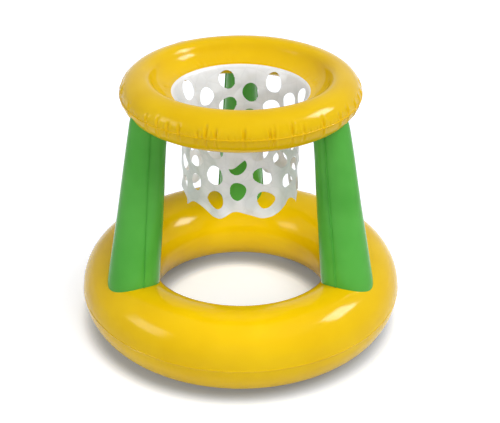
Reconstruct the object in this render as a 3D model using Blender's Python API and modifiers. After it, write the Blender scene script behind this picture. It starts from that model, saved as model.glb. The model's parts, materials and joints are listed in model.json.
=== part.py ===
"""Floating basketball hoop: two inflatable rings, three inflatable legs and a punched film net.

Metres, +Z up, the front faces -Y. The origin is the centre of the base ring's footprint, at the
height of the surface that it rests on.

Every air chamber is made of thin film pieces welded edge to edge: the rings of an upper and a lower
skin, each leg of an outer and an inner panel. Every chamber has a push-in valve with a flange, a
stem, a plug on a strap and a check flap.
"""
import math

import bmesh
import bpy
import numpy as np
from mathutils import Matrix, Vector

# Film and welds
FILM = 0.00025
NET_FILM = 0.0002
GAP = 0.0003
WELD_WIDTH = 0.002
OVERRUN = 0.004
MERGE_DISTANCE = 0.00001

# Base ring, measured to the edges of its welds
BASE_OUTER_RADIUS = 0.335
BASE_INNER_RADIUS = 0.157
BASE_HEIGHT = 0.158
REST_STRIP = 0.014

# Hoop ring, measured to the edges of its welds
HOOP_OUTER_RADIUS = 0.237
HOOP_INNER_RADIUS = 0.1365
HOOP_HEIGHT = 0.078
HOOP_TOP = 0.55
HOOP_INNER_WELD = 0.0035

# Legs, at the seam plane of the base ring (foot) and of the hoop ring (head). Each share says how
# far across its ring, from the inner weld to the outer one, the leg's centre line stands.
LEG_FOOT_SHARE = 0.571
LEG_FOOT_HALF_WIDTH = 0.0587
LEG_FOOT_HALF_DEPTH = 0.0494
LEG_HEAD_SHARE = 0.562
LEG_HEAD_HALF_WIDTH = 0.0303
LEG_HEAD_HALF_DEPTH = 0.0346
LEG_AZIMUTHS = {"left": 210, "right": 330, "rear": 90}

# Net, a punched tube of film that hangs from the hoop's inner weld
NET_BOTTOM_RADIUS = 0.118
NET_LENGTH = 0.227
NET_HOLE_RADIUS = 0.0165
NET_ROW_SPACING = 0.0545
NET_FIRST_ROW_DROP = 0.0245
NET_COLUMNS = 16
NET_ROWS = 4
NET_FIRST_AZIMUTH = -90
SCALLOP_HALF_WIDTH = 0.04
SCALLOP_HEIGHT = 0.022

# Valve
BORE_RADIUS = 0.0035
STEM_RADIUS = 0.0055
LIP_RADIUS = 0.0068
LIP_THICKNESS = 0.0012
FLANGE_RADIUS = 0.0105
FLANGE_RISE = 0.0012
FLANGE_DEPTH = 0.005
STEM_TRAVEL = 0.009
BEAD_THICKNESS = 0.001
HINGE_REACH = 0.012
STRAP_WIDTH = 0.004
STRAP_THICKNESS = 0.0009
STRAP_INSET = 0.0002
CAP_THICKNESS = 0.0014
PIN_LENGTH = 0.0058
PIN_END_RADIUS = 0.0023
FLAP_THICKNESS = 0.0005

# Facet counts
BASE_STEPS = 40
HOOP_STEPS = 36
INNER_FLANK_STEPS = 4
OUTER_FLANK_STEPS = 5
LEG_ARC_STEPS = 11
LEG_ROWS = 3
HOLE_SIDES = 12
VALVE_STEPS = 14
FLANGE_SIDES = 20
SAMPLES = 40
HALVINGS = 50
SHARP_ANGLE = 40

# Where each valve sits: its azimuth on a ring, and its facet counted from the crown or, on a left
# or right leg, towards the rear from the middle of the panel
BASE_VALVE_AZIMUTH = 60
HOOP_VALVE_AZIMUTH = 120
BASE_VALVE_DOWN_STEPS = 2
HOOP_VALVE_DOWN_STEPS = 3
LEG_VALVE_ASIDE_STEPS = 2

# Sizes that follow from those above
LEG_FOOT_RADIUS = BASE_INNER_RADIUS + LEG_FOOT_SHARE * (BASE_OUTER_RADIUS - BASE_INNER_RADIUS)
LEG_HEAD_RADIUS = HOOP_INNER_RADIUS + LEG_HEAD_SHARE * (HOOP_OUTER_RADIUS - HOOP_INNER_RADIUS)
SEAT = FILM + GAP / 2
NET_SEAT = FILM + GAP + NET_FILM / 2
BASE_SEAM_HEIGHT = BASE_HEIGHT / 2
HOOP_SEAM_HEIGHT = HOOP_TOP - HOOP_HEIGHT / 2
NET_TOP_RADIUS = HOOP_INNER_RADIUS - GAP - NET_FILM
NET_BOTTOM = HOOP_SEAM_HEIGHT - NET_LENGTH

YELLOW = (0.86, 0.60, 0.015)
GREEN = (0.10, 0.47, 0.07)
FROSTED = (0.62, 0.65, 0.60)
CLEAR = (0.70, 0.72, 0.72)


# Collections, materials and modifiers

def new_collection(name):
    """A collection of the scene with the given name."""
    collection = bpy.data.collections.new(name)
    bpy.context.scene.collection.children.link(collection)
    return collection


def paint(thing, colour, roughness):
    """Give an object its own Principled material."""
    material = bpy.data.materials.new(thing.name)
    material.use_nodes = True
    shader = material.node_tree.nodes["Principled BSDF"]
    shader.inputs["Base Color"].default_value = (*colour, 1)
    shader.inputs["Roughness"].default_value = roughness
    shader.inputs["Metallic"].default_value = 0
    thing.data.materials.append(material)


def new_object(name, vertices, edges, faces, collection):
    """An object with a mesh made from the given vertices, edges and faces."""
    mesh = bpy.data.meshes.new(name)
    mesh.from_pydata([tuple(vertex) for vertex in vertices], edges, faces)
    mesh.shade_smooth()
    thing = bpy.data.objects.new(name, mesh)
    collection.objects.link(thing)
    return thing


def as_cutter(thing):
    """Show a cutter as a wire and keep it out of renders."""
    thing.display_type = "WIRE"
    thing.hide_render = True
    return thing


def turn(thing, steps):
    """Turn a profile in the XZ plane round the Z axis."""
    screw = thing.modifiers.new("Turn", "SCREW")
    screw.steps = steps
    screw.render_steps = steps
    screw.use_merge_vertices = True
    screw.merge_threshold = MERGE_DISTANCE
    screw.use_smooth_shade = True


def thicken(thing, thickness, offset):
    """Give an open surface its wall, inwards where the offset is -1."""
    wall = thing.modifiers.new("Wall", "SOLIDIFY")
    wall.thickness = thickness
    wall.offset = offset
    wall.use_even_offset = True


def combine(thing, tool, operation):
    """Cut an object with a tool, or join the tool to it."""
    boolean = thing.modifiers.new(tool.name, "BOOLEAN")
    boolean.operation = operation
    boolean.object = tool
    boolean.solver = "EXACT"


def turned(name, profile, closed, steps, collection):
    """A piece turned from a profile of (radius, height) points, which runs down its outer side."""
    count = len(profile)
    edges = [(index, index + 1) for index in range(count - 1)]
    if closed:
        edges.append((count - 1, 0))
    thing = new_object(name, [(r, 0, z) for r, z in profile], edges, [], collection)
    turn(thing, steps)
    return thing


def lofted(name, rows, closed, collection):
    """A skin through rows of points, which is capped at both ends where the rows are closed."""
    count = rows.shape[1]
    spans = count if closed else count - 1
    faces = []
    for row in range(rows.shape[0] - 1):
        for index in range(spans):
            following = (index + 1) % count
            low = row * count
            high = low + count
            faces.append((low + index, low + following, high + following, high + index))
    if closed:
        last = (rows.shape[0] - 1) * count
        faces.append(tuple(reversed(range(count))))
        faces.append(tuple(range(last, last + count)))
    return new_object(name, rows.reshape(-1, 3), [], faces, collection)


# Ring sections

def film_curve(inner, outer, start_slope):
    """Radius and height along inflated film, from the inner weld to the outer one.

    The film's curvature is proportional to its distance from the ring's axis, which makes the sine
    of its slope fall with the square of that distance, from the start slope to straight down.
    """
    rate = 2 * (1 + math.sin(start_slope)) / (outer ** 2 - inner ** 2)
    rise = np.linspace(start_slope, 0, INNER_FLANK_STEPS * SAMPLES + 1)
    fall = np.linspace(0, -math.pi / 2, OUTER_FLANK_STEPS * SAMPLES + 1)
    slope = np.concatenate((rise, fall[1:]))
    radius = np.sqrt(inner ** 2 + 2 * (math.sin(start_slope) - np.sin(slope)) / rate)
    climb = np.sin(slope) / (rate * radius)
    steps = -np.diff(slope) * (climb[1:] + climb[:-1]) / 2
    height = np.concatenate(([0], np.cumsum(steps)))
    return radius, height


def start_slope_of(inner, outer):
    """The slope at the inner weld that brings the film back to the seam plane at the outer weld."""
    low = 0.0
    high = math.pi / 2
    for _ in range(HALVINGS):
        middle = (low + high) / 2
        if film_curve(inner, outer, middle)[1][-1] < 0:
            low = middle
        else:
            high = middle
    return (low + high) / 2


def skin_section(inner_tip, outer_tip, inner_weld, half_height, inner_seat, strip):
    """Points (radius, height over the seam plane) of a skin's outer face, inner weld to outer weld.

    A strip of the given width at the crown is flat, as where a soft tube rests on the ground.
    """
    inner = inner_tip + inner_weld
    outer = outer_tip - WELD_WIDTH
    half_strip = strip / 2
    ends = (inner + half_strip, outer - half_strip)
    radius, height = film_curve(*ends, start_slope_of(*ends))
    radius = radius[::SAMPLES]
    height = height[::SAMPLES]
    seat = np.interp(radius, ends, (inner_seat, SEAT))
    height = seat + height / height.max() * (half_height - seat)
    crown = INNER_FLANK_STEPS
    inner_flank = [(r - half_strip, z) for r, z in zip(radius[:crown + 1], height[:crown + 1])]
    outer_flank = [(r + half_strip, z) for r, z in zip(radius[crown:], height[crown:])]
    if not strip:
        outer_flank = outer_flank[1:]
    return [(inner_tip, inner_seat)] + inner_flank + outer_flank + [(outer_tip, SEAT)]


def offset_outwards(profile, distance):
    """A profile moved by a distance along its outward normals, which stand left of its course."""
    points = np.array(profile)
    course = np.diff(points, axis=0)
    normals = np.stack((-course[:, 1], course[:, 0]), axis=1)
    normals /= np.linalg.norm(normals, axis=1)[:, None]
    joined = np.concatenate((normals[:1], normals[:-1] + normals[1:], normals[-1:]))
    joined /= (joined ** 2).sum(axis=1)[:, None]
    joined[1:-1] *= 2
    return points + joined * distance


BASE_UPPER = skin_section(BASE_INNER_RADIUS, BASE_OUTER_RADIUS, WELD_WIDTH,
                          BASE_HEIGHT / 2, SEAT, 0)
BASE_LOWER = skin_section(BASE_INNER_RADIUS, BASE_OUTER_RADIUS, WELD_WIDTH,
                          BASE_HEIGHT / 2, SEAT, REST_STRIP)
HOOP_SKIN = skin_section(HOOP_INNER_RADIUS, HOOP_OUTER_RADIUS, HOOP_INNER_WELD,
                         HOOP_HEIGHT / 2, NET_SEAT, 0)


def upwards(section, seam_height):
    """A section placed above the seam plane, from the inner weld to the outer one."""
    return [(r, seam_height + z) for r, z in section]


def downwards(section, seam_height):
    """A section mirrored below the seam plane, from the outer weld to the inner one."""
    return [(r, seam_height - z) for r, z in reversed(section)]


def ring_skin(name, profile, steps, collection):
    """One half of a ring's film."""
    skin = turned(name, profile, False, steps, collection)
    thicken(skin, FILM, -1)
    paint(skin, YELLOW, 0.22)
    return skin


def ring_envelope(name, section, seam_height, steps, collection):
    """The space that a ring takes, with the gap that its neighbours keep."""
    grown = [(r, z) for r, z in offset_outwards(section, GAP)]
    profile = upwards(grown, seam_height) + downwards(grown, seam_height)
    return as_cutter(turned(name, profile, True, steps, collection))


# Legs

def leg_rows(azimuth, facing, swell):
    """Rows of points up one panel of a leg, with its two welds, on the side that it faces.

    A row is half an ellipse between the two welds. Swell moves the panel's face outwards.
    """
    angle = math.radians(azimuth)
    out = np.array((math.cos(angle), math.sin(angle), 0))
    along = np.array((-math.sin(angle), math.cos(angle), 0))
    share = np.linspace(0, 1, LEG_ROWS + 1)[:, None, None]
    foot = out * LEG_FOOT_RADIUS + np.array((0, 0, BASE_SEAM_HEIGHT))
    head = out * LEG_HEAD_RADIUS + np.array((0, 0, HOOP_SEAM_HEIGHT))
    centre = foot + (head - foot) * share
    width = LEG_FOOT_HALF_WIDTH + (LEG_HEAD_HALF_WIDTH - LEG_FOOT_HALF_WIDTH) * share
    depth = LEG_FOOT_HALF_DEPTH + (LEG_HEAD_HALF_DEPTH - LEG_FOOT_HALF_DEPTH) * share
    turn_angle = np.linspace(-math.pi / 2, math.pi / 2, LEG_ARC_STEPS + 1)[None, :, None]
    if swell:
        reach = (depth + swell) * np.cos(turn_angle)
        spread = (width + swell) * np.sin(turn_angle)
    else:
        reach = SEAT + (depth - SEAT) * np.cos(turn_angle)
        spread = width * np.sin(turn_angle)
        tip = width + WELD_WIDTH
        spread = np.concatenate((-tip, spread, tip), axis=1)
        seat = np.full_like(tip, SEAT)
        reach = np.concatenate((seat, reach, seat), axis=1)
    return centre + facing * (out * reach + along * spread)


def leg_panel(name, azimuth, facing, parts):
    """One film panel of a leg, welded to the other one along both sides."""
    panel = lofted(name, leg_rows(azimuth, facing, 0), False, parts)
    thicken(panel, FILM, -1)
    paint(panel, GREEN, 0.24)
    return panel


def leg_envelope(name, azimuth, cutters):
    """The space that a leg takes, with the gap that its neighbours keep."""
    halves = [leg_rows(azimuth, facing, GAP)[:, :-1] for facing in (1, -1)]
    return as_cutter(lofted(name, np.concatenate(halves, axis=1), True, cutters))


# Net

def add_pegs(mesh_data, parity, first_drop, rows, half_width, half_height):
    """Add pegs that stand through the net's wall in every second column, row below row.

    A peg starts inside the wall also at its sides, where the round wall lies nearer to the axis.
    """
    inner = math.sqrt(NET_BOTTOM_RADIUS ** 2 - half_width ** 2) - OVERRUN
    outer = NET_TOP_RADIUS + OVERRUN
    for column in range(parity, NET_COLUMNS, 2):
        azimuth = math.radians(NET_FIRST_AZIMUTH + 360 * column / NET_COLUMNS)
        for row in range(rows):
            height = HOOP_SEAM_HEIGHT - first_drop - row * NET_ROW_SPACING
            place = Matrix.Rotation(azimuth, 4, "Z")
            place = place @ Matrix.Translation(((inner + outer) / 2, 0, height))
            place = place @ Matrix.Rotation(math.pi / 2, 4, "Y")
            place = place @ Matrix.Diagonal((half_height, half_width, outer - inner, 1))
            place = place @ Matrix.Rotation(math.pi / HOLE_SIDES, 4, "Z")
            bmesh.ops.create_cone(mesh_data, cap_ends=True, segments=HOLE_SIDES, radius1=1,
                                  radius2=1, depth=1, matrix=place)


def net_punch(name, cutters):
    """The punch that makes the net's holes and the arches of its hem."""
    half_row = NET_ROW_SPACING / 2
    mesh_data = bmesh.new()
    add_pegs(mesh_data, 1, NET_FIRST_ROW_DROP, NET_ROWS, NET_HOLE_RADIUS, NET_HOLE_RADIUS)
    add_pegs(mesh_data, 0, NET_FIRST_ROW_DROP + half_row, NET_ROWS - 1, NET_HOLE_RADIUS,
             NET_HOLE_RADIUS)
    add_pegs(mesh_data, 0, NET_LENGTH, 1, SCALLOP_HALF_WIDTH, SCALLOP_HEIGHT)
    mesh = bpy.data.meshes.new(name)
    mesh_data.to_mesh(mesh)
    mesh_data.free()
    thing = bpy.data.objects.new(name, mesh)
    cutters.objects.link(thing)
    return as_cutter(thing)


def make_net(parts, cutters):
    """A tapered film tube with a flange in the hoop's inner weld, round holes and a scalloped hem."""
    flange = HOOP_INNER_RADIUS + HOOP_INNER_WELD - GAP
    profile = [(flange, HOOP_SEAM_HEIGHT), (NET_TOP_RADIUS, HOOP_SEAM_HEIGHT),
               (NET_BOTTOM_RADIUS, NET_BOTTOM)]
    net = turned("net", profile, False, HOOP_STEPS, parts)
    thicken(net, NET_FILM, 0)
    combine(net, net_punch("net_punch", cutters), "DIFFERENCE")
    paint(net, FROSTED, 0.35)


# Valves

def block(name, low, high, collection):
    """A box between two corners."""
    size = Vector(high) - Vector(low)
    place = Matrix.Translation((Vector(low) + Vector(high)) / 2) @ Matrix.Diagonal((*size, 1))
    mesh_data = bmesh.new()
    bmesh.ops.create_cube(mesh_data, size=1, matrix=place)
    mesh = bpy.data.meshes.new(name)
    mesh_data.to_mesh(mesh)
    mesh_data.free()
    thing = bpy.data.objects.new(name, mesh)
    collection.objects.link(thing)
    return thing


def drum(name, radius, low, high, sides, collection):
    """An upright cylinder between two heights."""
    place = Matrix.Translation((0, 0, (low + high) / 2))
    mesh_data = bmesh.new()
    bmesh.ops.create_cone(mesh_data, cap_ends=True, segments=sides, radius1=radius,
                          radius2=radius, depth=high - low, matrix=place)
    mesh = bpy.data.meshes.new(name)
    mesh_data.to_mesh(mesh)
    mesh_data.free()
    mesh.shade_smooth()
    mesh.set_sharp_from_angle(angle=math.radians(SHARP_ANGLE))
    thing = bpy.data.objects.new(name, mesh)
    collection.objects.link(thing)
    return thing


def axis_empty(name, parent, location, collection):
    """An empty that marks a joint's axis on the valve."""
    empty = bpy.data.objects.new(name, None)
    empty.empty_display_size = BORE_RADIUS
    empty.parent = parent
    empty.location = location
    collection.objects.link(empty)
    return empty


def make_valve(name, skin, envelope, frame, parts, cutters):
    """A push-in valve on a skin; the frame's Z axis stands out of the skin at its face.

    The stem's lip lies on the flange, the plug's cap on the lip and the check flap under the stem,
    each with the gap. The strap's root is the plug's hinge, level with that gap.
    """
    lip_bottom = FLANGE_RISE + GAP
    lip_top = lip_bottom + LIP_THICKNESS
    cap_bottom = lip_top + GAP
    bead_top = -(FILM + GAP + STEM_TRAVEL)
    stem_bottom = bead_top - BEAD_THICKNESS
    flap_top = stem_bottom - GAP
    flap_hinge = Vector((-STEM_RADIUS, 0, flap_top))
    plug_hinge = Vector((HINGE_REACH, 0, lip_top + GAP / 2))
    hole_radius = STEM_RADIUS + GAP

    seat = bpy.data.objects.new(name + "_seat", None)
    seat.matrix_world = frame
    parts.objects.link(seat)

    hole = drum(name + "_hole", hole_radius, -FLANGE_DEPTH - OVERRUN, FLANGE_RISE + OVERRUN,
                VALVE_STEPS, cutters)
    hole.parent = seat
    as_cutter(hole)
    combine(skin, hole, "DIFFERENCE")

    flange = drum(name + "_flange", FLANGE_RADIUS, -FLANGE_DEPTH, FLANGE_RISE, FLANGE_SIDES, parts)
    flange.parent = seat
    combine(flange, envelope, "DIFFERENCE")
    combine(flange, hole, "DIFFERENCE")

    stem = turned(name + "_stem", [(BORE_RADIUS, lip_top), (LIP_RADIUS, lip_top),
                                   (LIP_RADIUS, lip_bottom), (STEM_RADIUS, lip_bottom),
                                   (STEM_RADIUS, bead_top), (LIP_RADIUS, bead_top),
                                   (LIP_RADIUS, stem_bottom), (BORE_RADIUS, stem_bottom)],
                  True, VALVE_STEPS, parts)
    ear = block(name + "_ear", (STEM_RADIUS, -STRAP_WIDTH / 2, lip_bottom + STRAP_INSET),
                (HINGE_REACH - GAP, STRAP_WIDTH / 2, lip_top - STRAP_INSET), cutters)
    combine(stem, as_cutter(ear), "UNION")
    stem.parent = seat
    ear.parent = seat

    hinge = axis_empty(name + "_plug_hinge", seat, plug_hinge, parts)
    plug = turned(name + "_plug", [(0, cap_bottom + CAP_THICKNESS),
                                   (LIP_RADIUS, cap_bottom + CAP_THICKNESS),
                                   (LIP_RADIUS, cap_bottom), (BORE_RADIUS - GAP, cap_bottom),
                                   (PIN_END_RADIUS, cap_bottom - PIN_LENGTH),
                                   (0, cap_bottom - PIN_LENGTH)],
                  False, VALVE_STEPS, parts)
    strap_bottom = cap_bottom + STRAP_INSET
    strap = block(name + "_strap", (STEM_RADIUS, -STRAP_WIDTH / 2, strap_bottom),
                  (HINGE_REACH, STRAP_WIDTH / 2, strap_bottom + STRAP_THICKNESS), cutters)
    combine(plug, as_cutter(strap), "UNION")
    for thing in (plug, strap):
        thing.parent = hinge
        thing.matrix_parent_inverse = Matrix.Translation(-plug_hinge)

    pivot = axis_empty(name + "_flap_hinge", seat, flap_hinge, parts)
    flap = drum(name + "_flap", STEM_RADIUS, flap_top - FLAP_THICKNESS, flap_top, VALVE_STEPS, parts)
    flap.parent = pivot
    flap.matrix_parent_inverse = Matrix.Translation(-flap_hinge)

    for thing in (flange, stem, plug, flap):
        paint(thing, CLEAR, 0.3)


def seat_frame(corners):
    """A frame at the middle of a facet, its Z axis along the facet's normal, its X axis level."""
    middle = Vector(np.mean(corners, axis=0))
    across = Vector(corners[1]) - Vector(corners[0])
    up = Vector(corners[3]) - Vector(corners[0])
    out = across.cross(up).normalized()
    level = Vector((0, 0, 1)).cross(out).normalized()
    frame = Matrix((level, out.cross(level), out)).transposed().to_4x4()
    frame.translation = middle
    return frame


def ring_facet(profile, segment, step, steps):
    """The corners of one facet of a turned skin, ordered so that their normal points outwards."""
    corners = []
    for side, index in ((0, segment + 1), (1, segment + 1), (1, segment), (0, segment)):
        angle = 2 * math.pi * (step + side) / steps
        radius, height = profile[index]
        corners.append((radius * math.cos(angle), radius * math.sin(angle), height))
    return corners


def leg_facet(rows, shift):
    """The corners of a facet in a panel's second row, so many facets aside of the middle."""
    index = (rows.shape[1] - 1) // 2 + shift
    return [rows[1, index], rows[1, index + 1], rows[2, index + 1], rows[2, index]]


def main():
    """Clear the scene and build the whole object."""
    for thing in list(bpy.data.objects):
        bpy.data.objects.remove(thing, do_unlink=True)
    parts = new_collection("floating_basketball_hoop")
    cutters = new_collection("cutters")

    base_upper = upwards(BASE_UPPER, BASE_SEAM_HEIGHT)
    hoop_upper = upwards(HOOP_SKIN, HOOP_SEAM_HEIGHT)
    base_skin = ring_skin("base_ring_upper_skin", base_upper, BASE_STEPS, parts)
    ring_skin("base_ring_lower_skin", downwards(BASE_LOWER, BASE_SEAM_HEIGHT), BASE_STEPS, parts)
    hoop_skin = ring_skin("hoop_ring_upper_skin", hoop_upper, HOOP_STEPS, parts)
    ring_skin("hoop_ring_lower_skin", downwards(HOOP_SKIN, HOOP_SEAM_HEIGHT), HOOP_STEPS, parts)
    base_space = ring_envelope("base_space", BASE_UPPER, BASE_SEAM_HEIGHT, BASE_STEPS, cutters)
    hoop_space = ring_envelope("hoop_space", HOOP_SKIN, HOOP_SEAM_HEIGHT, HOOP_STEPS, cutters)

    make_net(parts, cutters)

    crown = INNER_FLANK_STEPS + 1
    rear_right = seat_frame(ring_facet(base_upper, crown + BASE_VALVE_DOWN_STEPS,
                                       BASE_STEPS * BASE_VALVE_AZIMUTH // 360, BASE_STEPS))
    rear_left = seat_frame(ring_facet(hoop_upper, crown + HOOP_VALVE_DOWN_STEPS,
                                      HOOP_STEPS * HOOP_VALVE_AZIMUTH // 360, HOOP_STEPS))
    make_valve("base_valve", base_skin, base_space, rear_right, parts, cutters)
    make_valve("hoop_valve", hoop_skin, hoop_space, rear_left, parts, cutters)

    for side, azimuth in LEG_AZIMUTHS.items():
        leg_space = leg_envelope(side + "_leg_space", azimuth, cutters)
        valve_facing = 1 if side == "rear" else -1
        shift = -round(math.cos(math.radians(azimuth))) * LEG_VALVE_ASIDE_STEPS
        for word, facing in (("outer", 1), ("inner", -1)):
            panel = leg_panel(side + "_leg_" + word + "_panel", azimuth, facing, parts)
            if facing == valve_facing:
                rows = leg_rows(azimuth, facing, 0)
                frame = seat_frame(leg_facet(rows, shift))
                make_valve(side + "_leg_valve", panel, leg_space, frame, parts, cutters)
            combine(panel, base_space, "DIFFERENCE")
            combine(panel, hoop_space, "DIFFERENCE")


main()
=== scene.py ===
# %% [markdown]
# # A floating basketball hoop
#
# This pool game is all thin vinyl film: a wide ring that floats, three inflated legs, a smaller
# ring on top and a punched net that hangs in it. Each inflated part is two pieces of film, welded
# edge to edge, and each has a push-in valve.
#
# The solids, their joints and their places come from a fixed frame. Every cell below makes a finer
# surface for some of those solids and names the solids that it stands for. A size that the frame
# can tell is read from it, and the others are named beside the piece that they belong to.

# %% Load the frame and keep its box
import json
import math

import bmesh
import bpy
import numpy as np
from mathutils import Matrix, Vector


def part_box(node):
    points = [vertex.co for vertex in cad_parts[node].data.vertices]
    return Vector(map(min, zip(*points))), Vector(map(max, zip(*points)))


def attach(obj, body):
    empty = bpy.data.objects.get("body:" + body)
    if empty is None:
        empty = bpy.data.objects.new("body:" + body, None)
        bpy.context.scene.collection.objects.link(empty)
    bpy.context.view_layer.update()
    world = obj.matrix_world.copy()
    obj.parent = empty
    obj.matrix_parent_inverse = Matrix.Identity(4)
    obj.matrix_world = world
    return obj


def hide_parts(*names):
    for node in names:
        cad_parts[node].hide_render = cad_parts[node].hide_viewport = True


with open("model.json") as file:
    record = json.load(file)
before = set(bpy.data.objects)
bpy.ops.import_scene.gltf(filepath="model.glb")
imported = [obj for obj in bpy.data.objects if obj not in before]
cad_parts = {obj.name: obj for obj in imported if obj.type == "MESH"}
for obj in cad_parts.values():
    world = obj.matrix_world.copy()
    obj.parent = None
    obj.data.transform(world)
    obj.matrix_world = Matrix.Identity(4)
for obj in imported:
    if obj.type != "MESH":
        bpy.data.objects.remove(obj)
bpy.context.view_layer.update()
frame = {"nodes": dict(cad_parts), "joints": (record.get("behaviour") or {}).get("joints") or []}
print("nodes in the frame:", len(frame["nodes"]))

# %% [markdown]
# ## The camera
#
# The object is seen from the front and from above, and the middle of the hoop stands almost in the
# middle of the picture. A long lens shows it with little perspective. The camera is placed first,
# because every later choice is judged through it. Its turn is made of three plain rotations: down
# from the horizon, a touch to the right, and a small roll.

# %% Place the camera
CAMERA_PLACE = (0, -1.9497, 1.3255)
CAMERA_DOWN = 29.16
CAMERA_RIGHTWARD = 0.559
CAMERA_ROLL = 0.27
CAMERA_LENS = 77.32

camera = bpy.data.objects.new("camera", bpy.data.cameras.new("camera"))
bpy.context.scene.collection.objects.link(camera)
camera.data.lens = CAMERA_LENS
camera.matrix_world = (Matrix.Translation(CAMERA_PLACE)
                       @ Matrix.Rotation(-math.radians(CAMERA_RIGHTWARD), 4, "Z")
                       @ Matrix.Rotation(math.radians(90 - CAMERA_DOWN), 4, "X")
                       @ Matrix.Rotation(math.radians(CAMERA_ROLL), 4, "Z"))
bpy.context.scene.camera = camera
print("camera at", CAMERA_PLACE, "with a lens of", CAMERA_LENS, "mm")

# %% [markdown]
# ## A surface as a grid of points
#
# Film has no thickness worth modelling by hand, so each piece starts as one surface: a function of
# two parameters, worked out for a whole grid at once. The helper below turns such a grid into a
# mesh. It can leave out quads, for holes, and close the grid where a surface runs round.

# %% Grid to mesh
def grid_mesh(name, points, round_columns=False, kept=None):
    """A mesh from points (rows, columns, 3): quad (i, j) joins points i, i+1 and j, j+1.

    With round_columns the last column joins the first. Where kept is given, only those quads are
    made and only their points are stored. An open edge, which one quad uses, is marked sharp, so
    that the film's thin rim doesn't bend the shading of its face.
    """
    rows, columns = points.shape[:2]
    index = np.arange(rows * columns).reshape(rows, columns)
    if round_columns:
        index = np.concatenate((index, index[:, :1]), axis=1)
    quads = np.stack((index[:-1, :-1], index[:-1, 1:], index[1:, 1:], index[1:, :-1]), axis=-1)
    quads = quads[kept] if kept is not None else quads.reshape(-1, 4)
    used, quads = np.unique(quads, return_inverse=True)
    quads = quads.reshape(-1, 4)
    mesh = bpy.data.meshes.new(name)
    mesh.vertices.add(len(used))
    mesh.vertices.foreach_set("co", points.reshape(-1, 3)[used].astype(np.float32).ravel())
    mesh.loops.add(quads.size)
    mesh.loops.foreach_set("vertex_index", quads.astype(np.int32).ravel())
    mesh.polygons.add(len(quads))
    mesh.polygons.foreach_set("loop_start", np.arange(0, quads.size, 4, dtype=np.int32))
    mesh.update(calc_edges=True)
    mesh.shade_smooth()
    edges = np.zeros(quads.size, np.int32)
    mesh.loops.foreach_get("edge_index", edges)
    single = np.bincount(edges, minlength=len(mesh.edges)) == 1
    sharp = mesh.attributes.get("sharp_edge") or mesh.attributes.new("sharp_edge", "BOOLEAN", "EDGE")
    sharp.data.foreach_set("value", single)
    return mesh


print("meshes before the first piece:", len(bpy.data.meshes))

# %% [markdown]
# ## From a mesh to a piece of film
#
# A mesh becomes a piece when it has a finish, moves with one body of the frame and stands for one
# of its solids. The film's thickness is left to a Solidify modifier: a second grid of points would
# say nothing new, and the thickness stays one number.

# %% Film pieces
FILM = 0.00025


def place_piece(name, mesh, material, body, node):
    """An object for a mesh, with its finish, that stands for a solid and moves with its body."""
    piece = bpy.data.objects.new(name, mesh)
    bpy.context.scene.collection.objects.link(piece)
    mesh.materials.append(material)
    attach(piece, body)
    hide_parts(node)
    return piece


def give_wall(piece, thickness, offset):
    """Give a surface the film's thickness, inwards where the offset is -1."""
    wall = piece.modifiers.new("Wall", "SOLIDIFY")
    wall.thickness = thickness
    wall.offset = offset


def film_piece(name, points, round_columns, kept, material, node):
    """A piece of the inflated body's film from a grid of points on its outer face."""
    mesh = grid_mesh(name, points, round_columns, kept)
    piece = place_piece(name, mesh, material, "inflated_body", node)
    give_wall(piece, FILM, -1)
    print(name, "has", len(mesh.polygons), "quads")
    return piece


print(f"vinyl film is {1000 * FILM} mm thick")

# %% [markdown]
# ## Colours and nodes
#
# A colour is easiest to choose as the six hex digits of a picture editor, but Blender's shaders
# count in linear light, so one function converts them. A second one adds a node with its settings
# and links in one line, which keeps each material below as short as its recipe.

# %% Colour and node helpers
def linear(hex_colour):
    """Linear RGBA of an sRGB hex colour: c / 12.92 when dark, else ((c + 0.055) / 1.055) ^ 2.4."""
    channels = np.array([int(hex_colour[i:i + 2], 16) / 255 for i in (1, 3, 5)])
    light = np.where(channels <= 0.04045, channels / 12.92, ((channels + 0.055) / 1.055) ** 2.4)
    return (*light.tolist(), 1)


def add(tree, kind, inputs, **settings):
    """Add a node, set its properties, and set or link its inputs by their names or numbers."""
    node = tree.nodes.new(kind)
    for name, value in settings.items():
        setattr(node, name, value)
    for name, value in inputs.items():
        if isinstance(value, bpy.types.NodeSocket):
            tree.links.new(value, node.inputs[name])
        else:
            node.inputs[name].default_value = value
    return node


def new_material(name):
    """A material with an empty node tree and its output node, and the Object coordinates."""
    material = bpy.data.materials.new(name)
    material.use_nodes = True
    tree = material.node_tree
    tree.nodes.clear()
    output = tree.nodes.new("ShaderNodeOutputMaterial")
    place = tree.nodes.new("ShaderNodeTexCoord").outputs["Object"]
    return material, tree, output, place


print("a middle grey in linear light:", round(linear("#808080")[0], 3))

# %% [markdown]
# ## Inflated vinyl film
#
# The rings and legs are plasticised PVC film, calendered and dyed in the mass. Its surface is
# smooth and glossy, but film rolled between cylinders keeps a faint unevenness, and a filled tube
# is never quite even either. So the reflections are sharp and slightly wavy, and the colour drifts
# a little where the film is stretched. The recipe is one Principled shader with four noises: one
# drifts the colour, one the sheen, and the other two are a shallow ripple and a fine grain in the
# bump. The real grain is finer, and is drawn just coarse enough to show.

# %% Vinyl film material
DRIFT_MM = 90
SHEEN_MM = 35
RIPPLE_MM = 28
RIPPLE_HEIGHT = 0.0006
FINE_MM = 2.5
FINE_HEIGHT = 0.00002


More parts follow.
